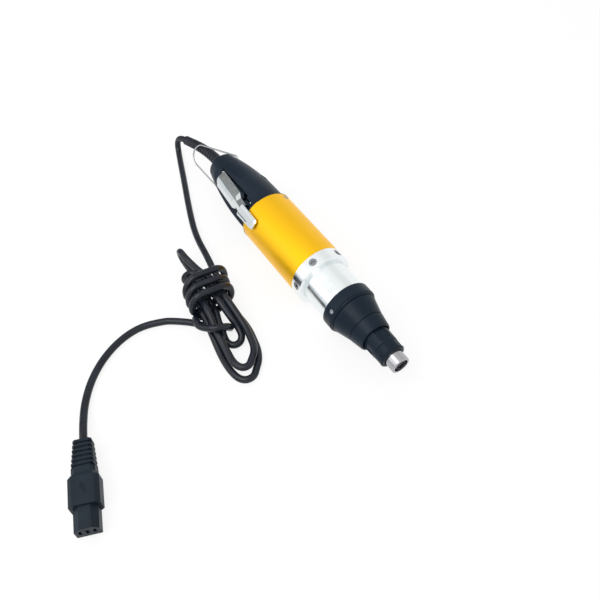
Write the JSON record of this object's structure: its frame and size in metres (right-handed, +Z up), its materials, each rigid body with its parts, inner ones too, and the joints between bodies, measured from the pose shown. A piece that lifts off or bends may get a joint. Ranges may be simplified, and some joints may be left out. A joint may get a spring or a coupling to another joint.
{
  "type": "electric screwdriver",
  "caption": "In-line electric screwdriver with a start lever, torque nut and spring-loaded bit sleeve, and a coiled lead ending in a moulded connector.",
  "frame": {"origin": "middle of the tool's length without its cord, under its axis, on the surface that it lies on", "axes": "+X along the tool's axis towards the bit, +Z up, +Y to the side of the direction switch"},
  "size_m": [0.2739, 0.2242, 0.0404],
  "materials": {
    "black_plastic": "satin moulded",
    "nut_plastic": "satin moulded",
    "gold_aluminium": "gold anodised, brushed lengthways",
    "turned_aluminium": "turned, satin",
    "chrome_lever": "polished",
    "bright_steel": "ground",
    "black_screws": "black oxide",
    "gear_steel": "machined",
    "motor_steel": "zinc plated",
    "magnet": "sintered",
    "copper": "enamelled",
    "carbon": "pressed carbon",
    "bronze": "sintered",
    "moulding": "moulded",
    "button_plastic": "moulded, ribbed",
    "spring_steel": "drawn wire",
    "cord_rubber": "satin",
    "plug_plastic": "moulded",
    "contact_brass": "plain"
  },
  "bodies": {
    "housing": {"rear_cover_upper": "black_plastic", "rear_cover_lower": "black_plastic", "nose_cone": "black_plastic", "motor_tube": "gold_aluminium", "front_ring": "turned_aluminium", "gear_housing": "turned_aluminium", "lever_pin": "bright_steel", "clutch_balls": "bright_steel", "nose_set_screws": "bright_steel", "thrust_plate": "bright_steel", "front_ring_screws": "black_screws", "tube_screws": "black_screws", "rear_cover_screws": "black_screws", "ring_gear": "gear_steel", "motor_can": "motor_steel", "motor_front_plate": "motor_steel", "field_magnets": "magnet", "carbon_brushes": "carbon", "front_motor_bush": "bronze", "rear_motor_bush": "bronze", "rear_spindle_bush": "bronze", "front_spindle_bush": "bronze", "motor_end_cap": "moulding", "micro_switch": "moulding", "direction_switch": "moulding", "torque_spring": "spring_steel", "lever_spring": "spring_steel", "cord_lead": "cord_rubber", "cord_hank": "cord_rubber", "cord_tail": "cord_rubber", "strain_relief": "cord_rubber", "plug_boot": "plug_plastic", "plug_body": "plug_plastic", "plug_insert": "plug_plastic", "plug_contacts": "contact_brass"},
    "armature": {"motor_shaft": "bright_steel", "armature_core": "motor_steel", "armature_windings": "copper", "commutator": "copper", "sun_gear": "gear_steel"},
    "spindle": {"spindle": "bright_steel", "planet_carrier": "bright_steel", "planet_pins": "bright_steel", "locking_balls": "bright_steel", "retaining_ring": "bright_steel", "sleeve_spring": "spring_steel"},
    "planet_1": {"planet_gear_1": "gear_steel"},
    "planet_2": {"planet_gear_2": "gear_steel"},
    "planet_3": {"planet_gear_3": "gear_steel"},
    "bit_sleeve": {"bit_sleeve": "bright_steel"},
    "nut_carriage": {"nut_washer": "bright_steel"},
    "torque_nut": {"torque_nut": "nut_plastic"},
    "start_lever": {"start_lever": "chrome_lever"},
    "switch_plunger": {"switch_plunger": "moulding"},
    "direction_button": {"direction_button": "button_plastic"},
    "hanger_bail": {"hanger_bail": "bright_steel"}
  },
  "joints": [
    {"name": "motor_spin", "type": "hinge", "parent": "housing", "child": "armature", "pos_m": [0.00057, 0, 0.0202], "axis": [1, 0, 0], "continuous": true},
    {"name": "spindle_spin", "type": "hinge", "parent": "housing", "child": "spindle", "pos_m": [0.08057, 0, 0.0202], "axis": [1, 0, 0], "continuous": true},
    {"name": "planet_1_spin", "type": "hinge", "parent": "spindle", "child": "planet_1", "pos_m": [0.03807, 0, 0.0283], "axis": [1, 0, 0], "continuous": true},
    {"name": "planet_2_spin", "type": "hinge", "parent": "spindle", "child": "planet_2", "pos_m": [0.03807, -0.00702, 0.01615], "axis": [1, 0, 0], "continuous": true},
    {"name": "planet_3_spin", "type": "hinge", "parent": "spindle", "child": "planet_3", "pos_m": [0.03807, 0.00702, 0.01615], "axis": [1, 0, 0], "continuous": true},
    {"name": "sleeve_slide", "type": "slide", "parent": "spindle", "child": "bit_sleeve", "axis": [1, 0, 0], "range_m": [-0.003, 0], "stiffness_N_per_m": 300, "springref_m": 0.003, "deforming": ["sleeve_spring"]},
    {"name": "nut_travel", "type": "slide", "parent": "housing", "child": "nut_carriage", "axis": [1, 0, 0], "range_m": [-0.003, 0.0015], "deforming": ["torque_spring"]},
    {"name": "nut_turn", "type": "hinge", "parent": "nut_carriage", "child": "torque_nut", "pos_m": [0.11057, 0, 0.0202], "axis": [1, 0, 0], "range_deg": [-724, 364]},
    {"name": "lever_press", "type": "hinge", "parent": "housing", "child": "start_lever", "pos_m": [-0.02843, -0.0099, 0.02663], "axis": [0, -0.5446, -0.8387], "range_deg": [0, 4], "stiffness_Nm_per_rad": 0.6, "springref_deg": -5.73, "deforming": ["lever_spring"]},
    {"name": "plunger_press", "type": "slide", "parent": "housing", "child": "switch_plunger", "axis": [0, 0.8387, -0.5446], "range_m": [0, 0.0012]},
    {"name": "direction_slide", "type": "slide", "parent": "housing", "child": "direction_button", "axis": [1, 0, 0], "range_m": [-0.002, 0.002]},
    {"name": "bail_swing", "type": "hinge", "parent": "housing", "child": "hanger_bail", "pos_m": [-0.07243, 0, 0.0202], "axis": [0, 0.5446, 0.8387], "range_deg": [0, 85]}
  ],
  "couplings": [
    {"joint": "spindle_spin", "follows": "motor_spin", "ratio": 0.22222},
    {"joint": "planet_1_spin", "follows": "motor_spin", "ratio": -0.62222},
    {"joint": "planet_2_spin", "follows": "motor_spin", "ratio": -0.62222},
    {"joint": "planet_3_spin", "follows": "motor_spin", "ratio": -0.62222},
    {"joint": "nut_turn", "follows": "nut_travel", "rad_per_m": 4188.8},
    {"joint": "plunger_press", "follows": "lever_press", "m_per_rad": 0.013}
  ]
}
